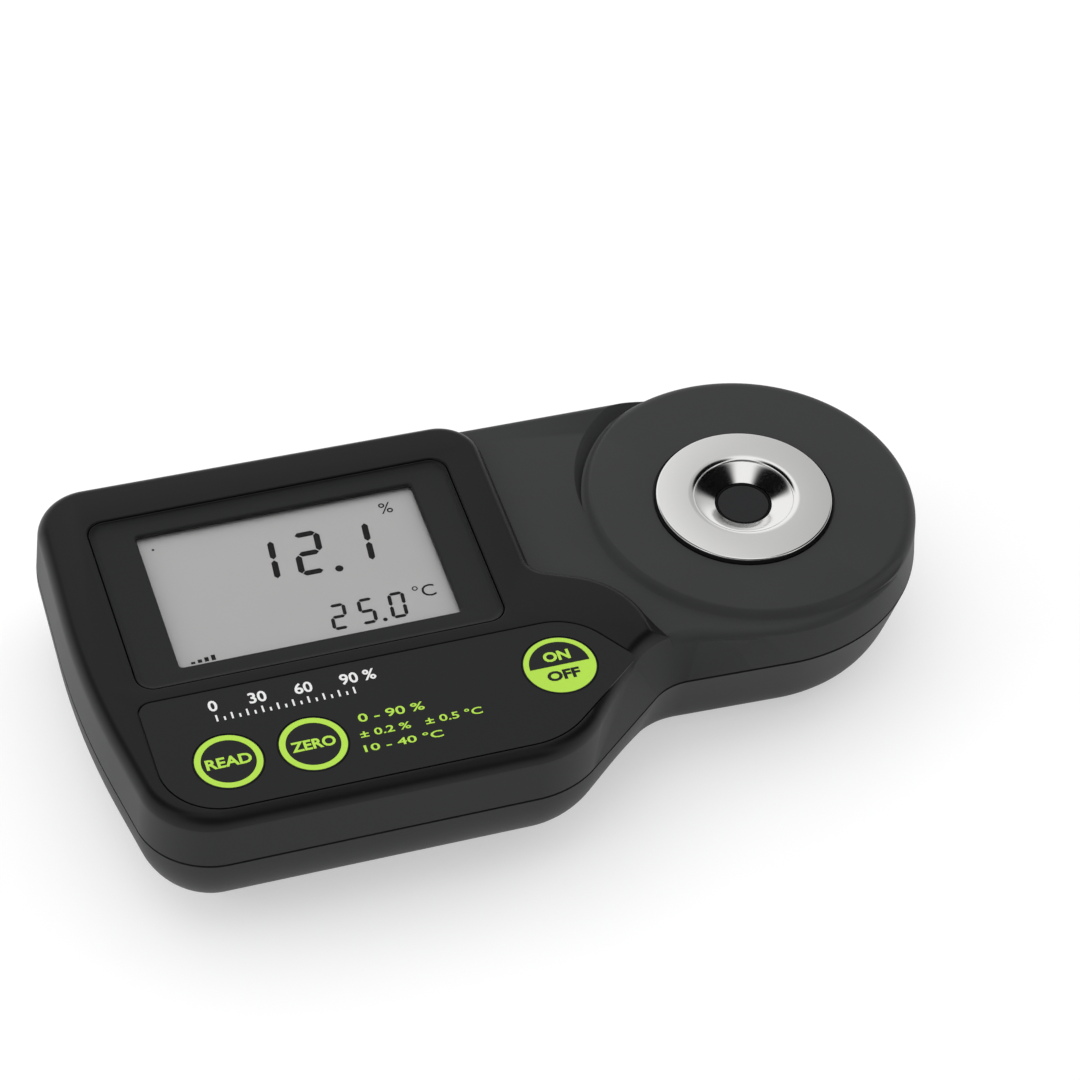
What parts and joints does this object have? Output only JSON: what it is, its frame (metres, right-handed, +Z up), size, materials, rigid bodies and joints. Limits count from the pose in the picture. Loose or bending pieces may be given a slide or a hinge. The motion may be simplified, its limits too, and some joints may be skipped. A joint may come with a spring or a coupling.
{
  "type": "digital refractometer",
  "caption": "Hand-held bench refractometer: a display and keypad half, a lower neck and a round stage with a steel sample well over a prism.",
  "frame": {"origin": "centre of the footprint, on the surface that the four rubber feet stand on", "axes": "+X from the display end to the round sample stage, +Y away from the person who reads the display, +Z up"},
  "size_m": [0.1919, 0.102, 0.036],
  "materials": {
    "housing_plastic": "dark grey moulded ABS with a fine satin texture",
    "bezel_plastic": "smooth dark frame round the display",
    "label_film": "charcoal printed polyester film",
    "key_dark": "charcoal key cap with a lime green printed ring",
    "key_green": "lime green printed film",
    "clear_plastic": "clear hard-coated window",
    "display_glass": "grey reflective liquid crystal glass",
    "white_plastic": "white moulded plastic",
    "black_rubber": "black rubber",
    "board_laminate": "green solder mask on glass laminate",
    "black_resin": "black moulded resin",
    "steel": "bright stainless steel, polished in the bowl",
    "brass": "turned brass",
    "optic_glass": "polished optical glass",
    "battery_jacket": "plain grey metal jacket",
    "foam": "grey foam rubber",
    "red_insulation": "red insulated wire",
    "ribbon_film": "pale flat ribbon"
  },
  "bodies": {
    "case": {"upper_case": "housing_plastic", "lower_case": "housing_plastic", "case_gasket": "black_rubber", "display_bezel": "bezel_plastic", "display_window": "clear_plastic", "lcd_panel": "display_glass", "lcd_frame": "white_plastic", "contact_strip_front": "black_rubber", "contact_strip_back": "black_rubber", "keypad_overlay": "label_film", "switch_read": "black_resin", "switch_zero": "black_resin", "switch_on_off": "black_resin", "main_board": "board_laminate", "board_screw_1": "steel", "board_screw_2": "steel", "board_screw_3": "steel", "board_screw_4": "steel", "microcontroller": "black_resin", "ribbon_socket": "white_plastic", "battery_socket": "white_plastic", "sample_well": "steel", "well_gasket": "black_rubber", "prism": "optic_glass", "prism_seal": "black_rubber", "optical_block": "black_resin", "lamp": "clear_plastic", "lamp_board": "board_laminate", "collimating_lens": "optic_glass", "image_sensor": "black_resin", "sensor_board": "board_laminate", "temperature_probe": "steel", "sensor_ribbon": "ribbon_film", "battery": "battery_jacket", "battery_snap": "black_rubber", "battery_lead_positive": "red_insulation", "battery_lead_negative": "black_rubber", "case_screw_1": "steel", "threaded_insert_1": "brass", "foot_1": "black_rubber", "case_screw_2": "steel", "threaded_insert_2": "brass", "foot_2": "black_rubber", "case_screw_3": "steel", "threaded_insert_3": "brass", "foot_3": "black_rubber", "case_screw_4": "steel", "threaded_insert_4": "brass", "foot_4": "black_rubber"},
    "read_key": {"key_read": "key_dark", "plunger_read": "black_resin"},
    "zero_key": {"key_zero": "key_dark", "plunger_zero": "black_resin"},
    "on_off_key": {"key_on_off": "key_green", "plunger_on_off": "black_resin"},
    "battery_lid": {"battery_cover": "housing_plastic", "battery_cover_seal": "black_rubber", "battery_foam": "foam"}
  },
  "joints": [
    {"name": "read_press", "type": "slide", "parent": "case", "child": "read_key", "axis": [0, 0, -1], "range_m": [0, 0.0005], "stiffness_N_per_m": 1000, "springref_m": -0.0005},
    {"name": "zero_press", "type": "slide", "parent": "case", "child": "zero_key", "axis": [0, 0, -1], "range_m": [0, 0.0005], "stiffness_N_per_m": 1000, "springref_m": -0.0005},
    {"name": "on_off_press", "type": "slide", "parent": "case", "child": "on_off_key", "axis": [0, 0, -1], "range_m": [0, 0.0005], "stiffness_N_per_m": 1000, "springref_m": -0.0005},
    {"name": "battery_lid_twist", "type": "hinge", "parent": "case", "child": "battery_lid", "pos_m": [-0.04401, 0, 0.0012], "axis": [0, 0, -1], "range_deg": [0, 30]}
  ]
}
